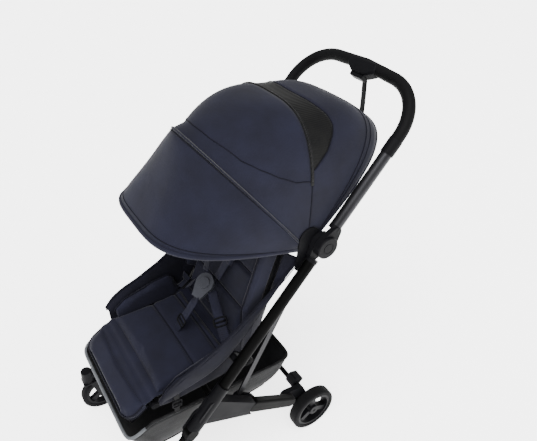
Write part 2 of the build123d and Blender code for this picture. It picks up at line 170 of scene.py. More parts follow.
SETTINGS = (("stroller_cloth", STROLLER_PG_cloth), ("stroller_pads", STROLLER_PG_pads),
            ("stroller_hardware", STROLLER_PG_hardware), ("stroller_studio", STROLLER_PG_studio))


# ---- Materials -----------------------------------------------------------------------

def add_node(tree, kind, links=None, values=None, stops=None, **settings):
    """One shader node with its settings, its sockets' values and links, and its ramp stops."""
    made = tree.nodes.new(kind)
    for name, value in settings.items():
        setattr(made, name, value)
    for socket, value in (values or {}).items():
        made.inputs[socket].default_value = value
    for socket, source in (links or {}).items():
        tree.links.new(source, made.inputs[socket])
    for i, (position, tint) in enumerate(stops or ()):
        stop = made.color_ramp.elements[i] if i < 2 else made.color_ramp.elements.new(position)
        stop.position, stop.color = position, tint
    return made


def blank(name, **values):
    """A new material, its node tree and its surface shader, with constants on the sockets."""
    material = bpy.data.materials.new(name)
    material.use_nodes = True
    tree = material.node_tree
    surface = tree.nodes["Principled BSDF"]
    for socket, value in values.items():
        surface.inputs[socket.replace("_", " ")].default_value = value
    return material, tree, surface


def bands(period):
    """Wave texture scale for a stripe period in metres."""
    return 2 * math.pi / 20 / period


def grey(value):
    return (value, value, value, 1)


def woven(name, dark, light, thread, relief, patch=0.07, crease=0.0012, roughness=0.86,
          sheen=0.05):
    """Woven cloth: crossing yarns, slow shade changes and soft creases."""
    material, tree, surface = blank(name, Roughness=roughness, Sheen_Weight=sheen,
                                    Sheen_Roughness=0.45, Specular_IOR_Level=0.12)
    place = add_node(tree, "ShaderNodeTexCoord").outputs["Object"]
    yarns = [add_node(tree, "ShaderNodeTexWave", {"Vector": place},
                      {"Scale": bands(thread), "Distortion": 0.7, "Detail": 1.0,
                       "Detail Scale": 1.5}, bands_direction=axis).outputs["Fac"] for axis in "XYZ"]
    crossed = add_node(tree, "ShaderNodeMath", {0: yarns[0], 1: yarns[1]}, operation="ADD")
    weave = add_node(tree, "ShaderNodeMath", {0: crossed.outputs[0], 1: yarns[2]},
                     operation="ADD").outputs[0]
    shade = add_node(tree, "ShaderNodeTexNoise", {"Vector": place},
                     {"Scale": 1 / patch, "Detail": 3.0, "Roughness": 0.55}).outputs["Fac"]
    mixed = add_node(tree, "ShaderNodeMath", {0: weave, 2: shade}, {1: 0.04},
                     operation="MULTIPLY_ADD").outputs[0]
    tone = add_node(tree, "ShaderNodeValToRGB", {"Fac": mixed},
                    stops=((0.25, dark), (0.95, light)))
    tree.links.new(tone.outputs["Color"], surface.inputs["Base Color"])
    folds = add_node(tree, "ShaderNodeTexNoise", {"Vector": place},
                     {"Scale": 1 / (0.6 * patch), "Detail": 2.0, "Distortion": 0.8}).outputs["Fac"]
    soft = add_node(tree, "ShaderNodeBump", {"Height": folds},
                    {"Strength": 0.5, "Distance": crease})
    fine = add_node(tree, "ShaderNodeBump", {"Height": weave, "Normal": soft.outputs["Normal"]},
                    {"Strength": 0.4, "Distance": relief})
    tree.links.new(fine.outputs["Normal"], surface.inputs["Normal"])
    return material


def ribbed(name, dark, light, rib, axis, relief, roughness=0.7, slope=0.0):
    """Ribs in one direction, for webbing, tape and knitted mesh."""
    material, tree, surface = blank(name, Roughness=roughness, Sheen_Weight=0.03,
                                    Sheen_Roughness=0.4, Specular_IOR_Level=0.1)
    place = add_node(tree, "ShaderNodeTexCoord").outputs["Object"]
    turned = add_node(tree, "ShaderNodeMapping", {"Vector": place},
                      {"Rotation": (slope, 0, 0)}).outputs["Vector"]
    ribs = add_node(tree, "ShaderNodeTexWave", {"Vector": turned},
                    {"Scale": bands(rib), "Distortion": 0.4, "Detail": 1.0},
                    bands_direction=axis).outputs["Fac"]
    shade = add_node(tree, "ShaderNodeTexNoise", {"Vector": place},
                     {"Scale": 30.0, "Detail": 2.0}).outputs["Fac"]
    mixed = add_node(tree, "ShaderNodeMath", {0: ribs, 2: shade}, {1: 0.4},
                     operation="MULTIPLY_ADD").outputs[0]
    tone = add_node(tree, "ShaderNodeValToRGB", {"Fac": mixed}, stops=((0.4, dark), (1.0, light)))
    tree.links.new(tone.outputs["Color"], surface.inputs["Base Color"])
    bump = add_node(tree, "ShaderNodeBump", {"Height": ribs}, {"Strength": 0.7, "Distance": relief})
    tree.links.new(bump.outputs["Normal"], surface.inputs["Normal"])
    return material


def grained(name, base, grain, relief, rough, metallic=0.0, lift=1.35, stretch=1.0,
            gloss_level=0.05):
    """Moulded, coated or foamed surface: a fine grain, uneven gloss and slightly worn tone."""
    material, tree, surface = blank(name, Metallic=metallic,
                                    Specular_IOR_Level=gloss_level)
    place = add_node(tree, "ShaderNodeTexCoord").outputs["Object"]
    drawn = add_node(tree, "ShaderNodeMapping", {"Vector": place},
                     {"Rotation": (-TUBE_SLOPE, 0, 0),
                      "Scale": (1, stretch, 1)}).outputs["Vector"]
    fine = add_node(tree, "ShaderNodeTexNoise", {"Vector": drawn},
                    {"Scale": 1 / grain, "Detail": 2.0, "Roughness": 0.6}).outputs["Fac"]
    broad = add_node(tree, "ShaderNodeTexNoise", {"Vector": drawn},
                     {"Scale": 14.0, "Detail": 4.0, "Distortion": 0.5}).outputs["Fac"]
    worn = tuple(min(1, c * lift) for c in base[:3]) + (1,)
    tone = add_node(tree, "ShaderNodeValToRGB", {"Fac": broad}, stops=((0.35, base), (0.75, worn)))
    gloss = add_node(tree, "ShaderNodeValToRGB", {"Fac": broad},
                     stops=((0.3, grey(rough[0])), (0.7, grey(rough[1]))))
    bump = add_node(tree, "ShaderNodeBump", {"Height": fine}, {"Strength": 0.5, "Distance": relief})
    tree.links.new(tone.outputs["Color"], surface.inputs["Base Color"])
    tree.links.new(gloss.outputs["Color"], surface.inputs["Roughness"])
    tree.links.new(bump.outputs["Normal"], surface.inputs["Normal"])
    return material


def make_materials(cloth, hardware):
    """Every finish on the stroller, named for what the real surface is, except two darker copies
    that carry painted shade.
    """
    made = {}
    # 600-denier polyester, 0.5 mm yarns drawn at 2.6 mm so that they show: matte, with a
    # faint sheen and a dry basket texture.
    made["navy_woven_polyester"] = woven("navy_woven_polyester", cloth.navy_dark,
                                         cloth.navy_light, 2.6 * MM, 0.1 * MM)
    # Thinner polyester of the side panels and linings, coloured a deeper navy as painted shade: it
    # keeps the sides of the seat in shade.
    made["navy_painted_shade_polyester"] = woven("navy_painted_shade_polyester", cloth.binding,
                                          linear("#0f0f1b"), 2.6 * MM, 0.1 * MM)
    # The same yarn cut as bias tape: darker and smoother, it draws the seams.
    made["navy_bias_binding"] = woven("navy_bias_binding", cloth.binding, cloth.navy_dark,
                                      1.8 * MM, 0.12 * MM, patch=0.03, crease=0.0003,
                                      roughness=0.95, sheen=0.0)
    # Warp-knitted polyester mesh with 1 mm wales drawn at 3 mm: ribs that catch a grey light.
    made["black_ribbed_mesh"] = ribbed("black_ribbed_mesh", cloth.black, linear("#0c0c0b"),
                                       3.0 * MM, "Z", 0.5 * MM, 0.62, slope=0.35)
    # Black nylon of the basket: matte, softly creased.
    made["black_nylon_cloth"] = woven("black_nylon_cloth", cloth.black, linear("#111113"),
                                      2.4 * MM, 0.2 * MM, crease=0.002, roughness=0.7)
    # Grey polyester tape on the basket's rim: the one pale edge under the seat.
    made["grey_woven_tape"] = woven("grey_woven_tape", linear("#3c3e41"), linear("#5b5d60"),
                                    1.6 * MM, 0.15 * MM, patch=0.03, crease=0.0002)
    # Polyester webbing, 1.2 mm ribs drawn at 2.4 mm: fine steps across each strap.
    made["navy_webbing"] = ribbed("navy_webbing", cloth.navy_dark, cloth.navy_light,
                                  2.4 * MM, "Z", 0.3 * MM)
    made["black_webbing"] = ribbed("black_webbing", cloth.black, linear("#151516"),
                                   2.4 * MM, "Z", 0.3 * MM)
    # Nylon coil zip in black tape: a slightly glossy line of small teeth.
    made["black_zip_coil"] = ribbed("black_zip_coil", linear("#040404"), linear("#161617"),
                                    3.2 * MM, "X", 0.6 * MM, 0.38)
    # Powder-coated aluminium: satin black with a fine orange peel.
    made["black_powder_coat"] = grained("black_powder_coat", hardware.coat, 1.6 * MM, 0.05 * MM,
                                        (0.4, 0.55), gloss_level=0.03)
    # Drawn and anodised aluminium: grey, with long soft streaks of light.
    made["grey_anodised_aluminium"] = grained("grey_anodised_aluminium", hardware.tube, 1.2 * MM,
                                              0.03 * MM, (0.3, 0.42), metallic=0.85, lift=1.15,
                                              stretch=0.04)
    # The same tube made darker as painted shade, for the struts under the seat.
    made["painted_shade_anodised_aluminium"] = grained("painted_shade_anodised_aluminium", linear("#1d1d1f"),
                                              1.2 * MM, 0.03 * MM, (0.32, 0.45), metallic=0.85,
                                              lift=1.15, stretch=0.04)
    # Glass-filled nylon, spark-eroded mould: an even dull grain.
    made["black_moulded_nylon"] = grained("black_moulded_nylon", hardware.moulded, 1.3 * MM,
                                          0.09 * MM, (0.46, 0.6))
    # Polypropylene boards and wheel centres: smoother, a little waxy.
    made["black_polypropylene"] = grained("black_polypropylene", hardware.moulded, 2.2 * MM,
                                          0.05 * MM, (0.4, 0.55))
    # Closed-cell foam sleeve: dull and finely pored.
    made["black_grip_foam"] = grained("black_grip_foam", hardware.grip, 1.8 * MM, 0.16 * MM,
                                      (0.55, 0.7))
    # Foam rubber tyre: the dullest black, with a dusty bloom.
    made["black_tyre_rubber"] = grained("black_tyre_rubber", hardware.tyre, 2.4 * MM, 0.2 * MM,
                                        (0.72, 0.86), lift=1.7)
    # Acetal buckle and buttons: smooth, mid grey, small soft highlights.
    made["grey_moulded_acetal"] = grained("grey_moulded_acetal", hardware.buckle, 1.2 * MM,
                                          0.04 * MM, (0.34, 0.46))
    # Glass-fibre bow strips under the canopy: black, satin, faintly streaked.
    made["black_fibre_strip"] = grained("black_fibre_strip", linear("#0c0c0d"), 1.5 * MM,
                                        0.05 * MM, (0.4, 0.5), stretch=0.2)
    return made


# ---- Mesh helpers --------------------------------------------------------------------

def piece(name, points, faces, finish):
    """A smooth-shaded mesh object in the row frame."""
    mesh = bpy.data.meshes.new(name)
    mesh.from_pydata([tuple(p) for p in points], [], faces)
    mesh.update()
    mesh.polygons.foreach_set("use_smooth", [True] * len(mesh.polygons))
    made = bpy.data.objects.new(name, mesh)
    bpy.context.scene.collection.objects.link(made)
    mesh.materials.append(bpy.data.materials[finish])
    return made


def quads(rows, columns, start=0):
    """Faces of a grid of points stored row by row."""
    return [(start + r * columns + c, start + r * columns + c + 1,
             start + (r + 1) * columns + c + 1, start + (r + 1) * columns + c)
            for r in range(rows - 1) for c in range(columns - 1)]


def settle(obj):
    """Turns what the modifiers make of a piece into its own mesh."""
    graph = bpy.context.evaluated_depsgraph_get()
    finished = bpy.data.meshes.new_from_object(obj.evaluated_get(graph))
    obj.modifiers.clear()
    obj.data = finished
    return obj


def thicken(obj, thickness, rounds=0):
    """Gives an open sheet its thickness about its middle, after optional rounding."""
    if rounds:
        obj.modifiers.new("rounding", "SUBSURF").levels = rounds
    shell = obj.modifiers.new("thickness", "SOLIDIFY")
    shell.thickness, shell.offset = thickness, 0
    return settle(obj)


def spline(points, per_span=8):
    """Points of a smooth curve through the given points."""
    p = [Vector(points[0])] + [Vector(q) for q in points] + [Vector(points[-1])]
    curve = []
    for i in range(1, len(p) - 2):
        for k in range(per_span):
            t = k / per_span
            curve.append(0.5 * (2 * p[i] + (p[i + 1] - p[i - 1]) * t
                                + (2 * p[i - 1] - 5 * p[i] + 4 * p[i + 1] - p[i + 2]) * t * t
                                + (3 * p[i] - p[i - 1] - 3 * p[i + 1] + p[i + 2]) * t ** 3))
    return curve + [p[-2]]


def round_section(radius, flat=1.0, count=10):
    """Section of a cord or roll, as (across, out) points."""
    turns = [2 * math.pi * i / count for i in range(count)]
    return [(radius * math.cos(a), radius * flat * math.sin(a)) for a in turns]


def strap_section(width, thickness):
    """Section of webbing with softened edges and a slight crown."""
    w, t = width / 2, thickness / 2
    return [(-w, 0), (-w + t, t), (-w / 2, 1.1 * t), (0, 1.15 * t), (w / 2, 1.1 * t), (w - t, t),
            (w, 0), (w - t, -t), (0, -t), (-w + t, -t)]


def sweep(name, path, section, finish, out, loop=False):
    """A closed section carried along a path. out is the outward direction, one or per point."""
    path = [Vector(p) for p in path]
    count, points = len(path), []
    for i, p in enumerate(path):
        ahead = path[(i + 1) % count] if loop or i < count - 1 else p
        behind = path[i - 1] if loop or i > 0 else p
        run = (ahead - behind).normalized()
        lift = Vector(out[i]) if hasattr(out[0], "__len__") else Vector(out)
        lift = (lift - run * lift.dot(run)).normalized()
        across = run.cross(lift)
        points += [p + across * a + lift * b for a, b in section]
    k = len(section)
    rings = count if loop else count - 1
    faces = [(i * k + j, i * k + (j + 1) % k, ((i + 1) % count) * k + (j + 1) % k,
              ((i + 1) % count) * k + j) for i in range(rings) for j in range(k)]
    if not loop:
        faces += [tuple(range(k))[::-1], tuple((count - 1) * k + j for j in range(k))]
    return piece(name, points, faces, finish)


def mesh_points(obj):
    points = np.empty(len(obj.data.vertices) * 3)
    obj.data.vertices.foreach_get("co", points)
    return points.reshape(-1, 3)


def set_points(obj, points):
    obj.data.vertices.foreach_set("co", np.asarray(points, float).ravel())
    obj.data.update()


def normals_of(obj):
    found = np.empty(len(obj.data.vertices) * 3)
    obj.data.vertices.foreach_get("normal", found)
    return found.reshape(-1, 3)


def join(name, objs):
    """Joins pieces into the first one, under a new name."""
    with bpy.context.temp_override(active_object=objs[0], selected_editable_objects=objs,
                                   selected_objects=objs):
        bpy.ops.object.join()
    objs[0].name = objs[0].data.name = name
    return objs[0]


def finish_soft(obj, body, stands_for=()):
    """Puts a finished piece on its body, in place of CAD nodes."""
    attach(obj, body)
    if stands_for:
        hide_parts(*stands_for)
    return obj


# ---- Canopy --------------------------------------------------------------------------

# Bow lines: angle above -Y at the canopy pivot, radius in mm, superellipse power, and the
# share of the front bow's turn that the line makes when the canopy folds.
BOW_LINES = ((16.3, 345, 3.87, 1.0), (53.3, 345, 1.8, 0.675), (58.5, 327, 1.98, 0.62),
             (94.4, 311, 3.28, 0.3), (111.0, 316, 3.6, 0.15), (130.0, 335, 3.75, 0.0),
             (138.8, 341, 3.8, 0.0))
BOW_ANGLES, BOW_RADII, BOW_POWERS, BOW_TURNS = zip(*BOW_LINES)
FRONT, RIDGE, STEP, MIDDLE, _, REAR_SEAM, REAR_HEM = BOW_ANGLES
# How far the cloth hangs inwards between each pair of lines, in mm.
BOW_SAGS = (25.0, 0.5, -5.0, 5.0, -3.0, 0.0)
CANOPY_HALF_WIDTH = 185.2
CANOPY_FOOT = 16
CANOPY_COLUMNS = 49
# The mesh window: its rear edge as angle against the turn round the arch.
WINDOW_TURNS = (0, 27, 29, 37, 47, 55, 65, 76, 90)
WINDOW_ANGLES = (94.4, 94.4, 98.0, 105.5, 108.6, 109.6, 108.6, 106.3, 104.6)
# The roof's curved seam, from the ridge down to the middle bow.
ROOF_SEAM_TURNS = (22, 26, 34, 43, 52, 72, 90)
ROOF_SEAM_ANGLES = (94.0, 81.5, 72.5, 66.5, 62.5, 59.6, 59.0)


def canopy_point(angle, turn, lift=0.0):
    """Point on the canopy cloth. turn runs 0 to 180 degrees round the arch, lift is outwards."""
    radius = np.interp(angle, BOW_ANGLES, BOW_RADII)
    power = np.interp(angle, BOW_ANGLES, BOW_POWERS)
    span = np.searchsorted(BOW_ANGLES, angle)
    if 0 < span < len(BOW_ANGLES):
        share = (angle - BOW_ANGLES[span - 1]) / (BOW_ANGLES[span] - BOW_ANGLES[span - 1])
        radius -= BOW_SAGS[span - 1] * math.sin(math.pi * share)
    foot = math.degrees((CANOPY_FOOT / radius) ** (power / 2))
    t = math.radians(foot + (180 - 2 * foot) * turn / 180)
    c, s = math.cos(t), math.sin(t)
    across = (CANOPY_HALF_WIDTH + lift / MM) * math.copysign(abs(c) ** (2 / power), c)
    out = (radius + lift / MM) * s ** (2 / power)
    a = math.radians(angle)
    pivot = PIVOTS["canopy_fold"]
    return Vector((across * MM, pivot.y - out * math.cos(a) * MM, pivot.z + out * math.sin(a) * MM))


def arch_turn(turn):
    """Arch share for a turn measured on the full arch, mirrored past the crown."""
    return min(turn, 180 - turn)


def window_edge(turn):
    return float(np.interp(arch_turn(turn), WINDOW_TURNS, WINDOW_ANGLES))


def roof_seam(turn):
    return float(np.interp(arch_turn(turn), ROOF_SEAM_TURNS, ROOF_SEAM_ANGLES))


def canopy_grid(name, first, last, rows, finish, start=0, end=180):
    """Cloth between two lines, each a function of the turn round the arch."""
    turns = np.linspace(start, end, CANOPY_COLUMNS)
    points = [canopy_point(first(t) + (last(t) - first(t)) * r / (rows - 1), t)
              for r in range(rows) for t in turns]
    return piece(name, points, quads(rows, CANOPY_COLUMNS), finish)


def fold_with_canopy(obj):
    """Bakes a canopy piece's placement into its mesh; the piece is not bent."""
    canopy_point(REAR_SEAM, 90)
    canopy_point(FRONT, 90)
    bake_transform(obj)
    points = mesh_points(obj)
    return obj


def canopy_line(name, angle_of, section, finish, start=0, end=180, lift=0.0, count=73):
    """A seam, band or hem that follows a line over the canopy."""
    turns = np.linspace(start, end, count)
    path = [canopy_point(angle_of(t), t, lift) for t in turns]
    inside = [canopy_point(angle_of(t), t, lift - 0.01) for t in turns]
    return sweep(name, path, section, finish, out=[p - q for p, q in zip(path, inside)])


def constant(angle):
    return lambda turn: angle


class STROLLER_OT_canopy(bpy.types.Operator):
    """Sews the canopy over its three bows, with its mesh window, zip, seams and hems"""

    bl_idname = "stroller.canopy"
    bl_label = "Canopy"

    def execute(self, context):
        cloth = context.scene.stroller_cloth
        half = cloth.canopy_thickness / 2
        navy = "navy_woven_polyester"
        panels = [
            canopy_grid("canopy_cloth", constant(FRONT), constant(RIDGE), 13, navy),
            canopy_grid("step", constant(RIDGE), constant(STEP), 5, navy),
            canopy_grid("roof", constant(STEP), constant(MIDDLE), 13, navy),
            canopy_grid("rear", window_edge, constant(REAR_SEAM), 10, navy),
            canopy_grid("hem", constant(REAR_SEAM), constant(REAR_HEM), 4, navy),
        ]
        sheet = join("canopy_cloth", panels)
        weld = sheet.modifiers.new("weld", "WELD")
        weld.merge_threshold = 0.0002
        thicken(settle(sheet), cloth.canopy_thickness)
        window = canopy_grid("canopy_mesh", constant(MIDDLE), window_edge, 9, "black_ribbed_mesh",
                             27.5, 152.5)
        thicken(window, 0.7 * cloth.canopy_thickness)
        seam = round_section(cloth.seam_radius)
        binding = "navy_bias_binding"
        trims = [
            canopy_line("canopy_front_hem", constant(FRONT + 0.4),
                        round_section(cloth.hem_radius, 0.9, 12), navy, lift=-0.001),
            canopy_line("canopy_front_stitch", constant(FRONT + 2.6), seam, binding, lift=half),
            canopy_line("canopy_ridge_fold", constant(RIDGE + 0.2), strap_section(7 * MM, 5 * MM),
                        navy, lift=half + 0.0004),
            canopy_line("canopy_ridge_seam", constant(RIDGE - 0.75), round_section(1.8 * MM, 0.8),
                        binding, lift=half),
            canopy_line("canopy_roof_seam", roof_seam, seam, binding, 22, 158, half),
            canopy_line("canopy_zip_tape", constant(MIDDLE), strap_section(9 * MM, 1.4 * MM),
                        "black_webbing", 20, 160, half + 0.0006),
            canopy_line("canopy_zip_coil", constant(MIDDLE - 0.35), round_section(1.9 * MM, 0.8),
                        "black_zip_coil", 22, 158, half + 0.0016),
            canopy_line("canopy_side_seam_left", constant(MIDDLE), round_section(1.7 * MM, 0.7),
                        binding, 3, 22, half, 17),
            canopy_line("canopy_side_seam_right", constant(MIDDLE), round_section(1.7 * MM, 0.7),
                        binding, 158, 177, half, 17),
            canopy_line("canopy_window_piping", window_edge, seam, binding, 27, 153, half),
            canopy_line("canopy_welt_front", constant(REAR_SEAM), round_section(1.4 * MM), binding,
                        lift=half),
            canopy_line("canopy_welt_rear", constant(REAR_SEAM + 3.2), seam, binding, lift=half),
            canopy_line("canopy_rear_hem", constant(REAR_HEM), round_section(3.0 * MM, 0.8), navy,
                        lift=-0.0005),
        ]
        for obj in (sheet, window, *trims):
            fold_with_canopy(obj)
        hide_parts("canopy_visor", "canopy_roof", "canopy_rear")
        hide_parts("canopy_window")
        return {"FINISHED"}


# ---- Pads ----------------------------------------------------------------------------

def swell(name, node, pads, cap=1.0, inset=1.0, even=4):
    """A filled pad from a CAD solid: remeshed, set in, swelled by cloth simulation and capped."""
    obj = bpy.data.objects.new(name, frame["nodes"][node].data.copy())
    bpy.context.scene.collection.objects.link(obj)
    remesh = obj.modifiers.new("voxels", "REMESH")
    remesh.mode, remesh.voxel_size = "VOXEL", pads.voxel
    settle(obj)
    obj.name = name
    before = mesh_points(obj) - normals_of(obj) * pads.inset * inset
    set_points(obj, before)
    filled = obj.modifiers.new("filling", "CLOTH")
    filled.settings.quality = 4
    filled.settings.mass = 0.3
    filled.settings.use_pressure = True
    filled.settings.uniform_pressure_force = pads.pressure
    filled.settings.effector_weights.gravity = 0
    filled.point_cache.frame_start, filled.point_cache.frame_end = 1, SWELL_FRAMES
    for step in range(1, SWELL_FRAMES + 1):
        bpy.context.scene.frame_set(step)
    graph = bpy.context.evaluated_depsgraph_get()
    result = obj.evaluated_get(graph).to_mesh()
    after = np.empty(len(result.vertices) * 3)
    result.vertices.foreach_get("co", after)
    obj.modifiers.clear()
    move = after.reshape(-1, 3) - before
    reach = np.linalg.norm(move, axis=1, keepdims=True)
    limit = pads.cap * cap
    set_points(obj, before + move * np.minimum(1, limit / np.maximum(reach, 1e-9)))
    bpy.context.scene.frame_set(1)
    smooth = obj.modifiers.new("even", "SMOOTH")
    smooth.factor, smooth.iterations = 0.5, even
    obj.modifiers.new("rounding", "SUBSURF").levels = 1
    settle(obj)
    obj.data.polygons.foreach_set("use_smooth", [True] * len(obj.data.polygons))
    obj.data.materials.clear()
    obj.data.materials.append(bpy.data.materials["navy_woven_polyester"])
    return obj


def keep_within(obj, node, low, high):
    """Holds a pad inside its CAD node's box, let out by (x, y, z) at either end."""
    bottom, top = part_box(node)
    points = mesh_points(obj)
    set_points(obj, np.clip(points, np.array(bottom) - np.array(low),
                            np.array(top) + np.array(high)))


def sew_channels(obj, places, direction, facing, depth, width=0.006):
    """Presses sewn lines into a pad. places are distances along direction, facing is outwards."""
    points, facing = mesh_points(obj), np.array(Vector(facing).normalized())
    along = points @ np.array(Vector(direction).normalized())
    outward = np.clip(normals_of(obj) @ facing, 0, 1)
    pressed = sum(np.exp(-((along - place) / width) ** 2) for place in places)
    set_points(obj, points - facing * (outward * np.minimum(pressed, 1) * depth)[:, None])


def crown(obj, facing, middle, reach, height):
    """Raises a pad's face in a dome, highest at the middle."""
    points, facing = mesh_points(obj), np.array(Vector(facing).normalized())
    share = (points - np.array(middle)) / np.array(reach)
    dome = np.clip(1 - (share ** 2).sum(1), 0, 1)
    outward = np.clip(normals_of(obj) @ facing, 0, 1)
    set_points(obj, points + facing * (outward * dome * height)[:, None])


def reach_forward(obj, start, distance):
    """Draws the part of a pad in front of a line forward, up to a distance at its end."""
    points = mesh_points(obj)
    ahead = np.clip(start - points[:, 1], 0, None)
    points[:, 1] -= distance * (ahead / ahead.max()) ** 2
    set_points(obj, points)


SEAT_SEAMS = (-316, -246)
BACK_CHANNELS = (100, 200, 300, 388)
# Share of its radius that the centre of a thread lies above the pad.
THREAD_PROUD = 0.6
BACK_SLOPE = 70
BACK_NORMAL = BACK_SLOPE + 90


def side_direction(slope):
    return Vector((0, math.cos(math.radians(slope)), math.sin(math.radians(slope))))


def back_point(up, forward):
    """Side point up the backrest and forward of its board."""
    recline = PIVOTS["backrest_recline"]
    foot = beyond(((recline.y - HUB.y) / MM, recline.z / MM), BACK_SLOPE, 26)
    return beyond(beyond(foot, BACK_SLOPE, up), BACK_NORMAL, forward)


def seam_thread(name, path, out, radius, body, pad=None):
    """A raised line of stitching or piping. On a pad, it lies on the surface, a little sunk."""
    if pad:
        surface = BVHTree.FromPolygons(mesh_points(pad).tolist(),
                                       [tuple(face.vertices) for face in pad.data.polygons])
        laid = [surface.find_nearest(p)[:2] for p in path]
        path = [spot + normal * radius * THREAD_PROUD for spot, normal in laid]
    made = sweep(name, path, round_section(radius), "navy_bias_binding", out=out)
    return finish_soft(made, body)


class STROLLER_OT_pads(bpy.types.Operator):
    """Fills the seat, hip, back, bolster and legrest pads and sews their channels"""

    bl_idname = "stroller.pads"
    bl_label = "Pads"

    def execute(self, context):
        pads, cloth = context.scene.stroller_pads, context.scene.stroller_cloth
        depth, piping = pads.channel_depth, cloth.piping_radius
        up = Vector((0, 0, 1))

        seat = swell("seat_pad", "seat_cushion", pads, inset=0.5, even=3)
        low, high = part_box("seat_cushion")
        centre = (low + high) / 2
        crown(seat, up, centre, (high.x, 0.13, 0.2), 0.006)
        sew_channels(seat, [HUB.y + s * MM for s in SEAT_SEAMS], (0, 1, 0), up, depth)
        keep_within(seat, "seat_cushion", (0.003, 0.002, -0.0005), (0.003, 0.002, 0.01))
        finish_soft(seat, "chassis", ["seat_cushion"])
        for i, place in enumerate(SEAT_SEAMS):
            line = [at(x, (place, 391.5 + 4.5 * (1 - (x / 145) ** 2)))
                    for x in range(-140, 141, 10)]
            seam_thread(f"seat_seam_{i + 1}", line, up, 1.3 * MM, "chassis", pad=seat)

        hips = swell("hip_pad_pair", "hip_pads", pads, 0.8, inset=0.4, even=2)
        keep_within(hips, "hip_pads", (0, 0.004, 0.001), (0, 0.002, 0.006))
        reach_forward(hips, HUB.y - 0.30, 0.016)
        finish_soft(hips, "chassis", ["hip_pads"])
        for name, sign in SIDES:
            edge = spline([at(sign * 157, p) for p in
                           ((-414, 398), (-398, 424), (-336, 446), (-270, 453), (-236, 438))], 6)
            seam_thread(f"hip_piping_{name}", edge, (sign, 0, 0), piping * 0.8, "chassis", pad=hips)

        back_face, back_run = side_direction(BACK_NORMAL), side_direction(BACK_SLOPE)
        back = swell("back_pad", "back_cushion", pads)
        foot = at(0, back_point(0, 0)).dot(back_run)
        sew_channels(back, [foot + c * MM for c in BACK_CHANNELS], back_run, back_face, depth)
        finish_soft(back, "backrest", ["back_cushion"])
        for i, place in enumerate(BACK_CHANNELS):
            line = [at(x, back_point(place, 19)) for x in range(-128, 129, 16)]
            seam_thread(f"back_seam_{i + 1}", line, back_face, 1.3 * MM, "backrest", pad=back)

        bolsters = swell("back_bolster_pair", "back_bolsters", pads, 0.7, inset=0.4, even=2)
        finish_soft(bolsters, "backrest", ["back_bolsters"])
        for name, sign in SIDES:
            edge = spline([at(sign * 148.5, back_point(*p)) for p in
                           ((62, 42), (132, 63.5), (215, 64), (300, 63.5), (378, 41))], 6)
            seam_thread(f"bolster_piping_{name}", edge, back_face, piping * 0.8, "backrest",
                        pad=bolsters)

        leg = PIVOTS["legrest_tilt"]
        hinge = ((leg.y - HUB.y) / MM, leg.z / MM)
        leg_face = side_direction(120)
        legrest = swell("legrest_soft_pad", "legrest_pad", pads, 0.7)
        finish_soft(legrest, "legrest", ["legrest_pad"])

        def on_legrest(x, along, high):
            return at(x, beyond(beyond(hinge, 210, along), 120, high))

        corner = [(149 - 36 + 36 * math.cos(a), 76 - 36 + 36 * math.sin(a))
                  for a in np.linspace(0, math.pi / 2, 8)]
        rim = [(149, 12)] + corner + [(-x, v) for x, v in corner[::-1]] + [(-149, 12)]
        for label, high in (("upper", 20.5), ("lower", 4.5)):
            path = [on_legrest(x * 0.992, v - 0.5, high) for x, v in rim]
            seam_thread(f"legrest_piping_{label}", path, leg_face, piping * 0.85, "legrest",
                        pad=legrest)
        return {"FINISHED"}


# ---- Seat shell ----------------------------------------------------------------------

SIDE_TOP = ((-47, 652), (-88, 614), (-144, 571), (-200, 530), (-256, 493), (-297, 474),
            (-335, 458), (-376, 444), (-408, 426), (-431, 402))
SIDE_LOW = ((-60, 641), (-100, 598), (-150, 542), (-200, 486), (-250, 440), (-290, 418),
            (-335, 407), (-380, 401), (-408, 398), (-431, 393))
SIDE_X = 178

# Inner linings, as (sideways, back, up): the piping, past the hip pad, and under the cushion.
LINING_TOP = ((177, -168, 553), (177, -205, 527), (177, -250, 497), (177, -297, 474),
              (177, -335, 458), (177, -376, 444), (177, -408, 426), (176, -429, 404))
LINING_LOW = ((172, -178, 472), (168, -210, 442), (168, -250, 440), (167, -300, 438),
              (167, -345, 430), (166, -376, 420), (166, -405, 405), (166, -428, 396))
LINING_FOOT = ((167, -200, 386), (166, -214, 374), (166, -250, 368), (165.5, -300, 366),
               (165.5, -345, 366), (165.5, -376, 366), (165.5, -405, 366), (164, -428, 370))
LINING_HEM = ((157, -207, 372), (150, -218, 364), (146, -250, 362.6), (146, -300, 362.6),
              (146, -345, 362.6), (146, -376, 362.6), (146, -405, 362.6), (146, -427, 364))
# Back gusset: its upper side line, its places up the backrest, and its lower corner.
GUSSET_TOP = ((-47, 652), (-88, 614), (-144, 571), (-176, 548), (-206, 527))
GUSSET_LOW = (292, 225, 150, 60)
GUSSET_CORNER = (-212, 374)
# Side line of the cloth that joins the seat to the legrest, with its crease.
KNEE_FOLD = ((-404, 379), (-416, 382.5), (-427, 384.5), (-434, 383.5), (-440, 379.5),
             (-446, 377.5), (-454, 376), (-466, 368))
# Side line of the cloth in the bend between the seat and the backrest.
BACK_FOLD = ((-238, 380), (-228, 384), (-216, 384), (-207, 385), (-203, 391), (-201, 399),
             (-203, 410), (-201.5, 420), (-197, 432))


# By default a draped sheet takes the darker navy cloth, which carries painted shade.
def drape(name, guides, thickness, finish="navy_painted_shade_polyester"):
    """A smooth sheet over guide curves, from its first edge to its last."""
    lines = [spline(guide, 5) for guide in guides]
    across = [spline([line[i] for line in lines], 6) for i in range(len(lines[0]))]
    points = [column[r] for r in range(len(across[0])) for column in across]
    made = piece(name, points, quads(len(across[0]), len(across)), finish)
    return thicken(made, thickness, 1)


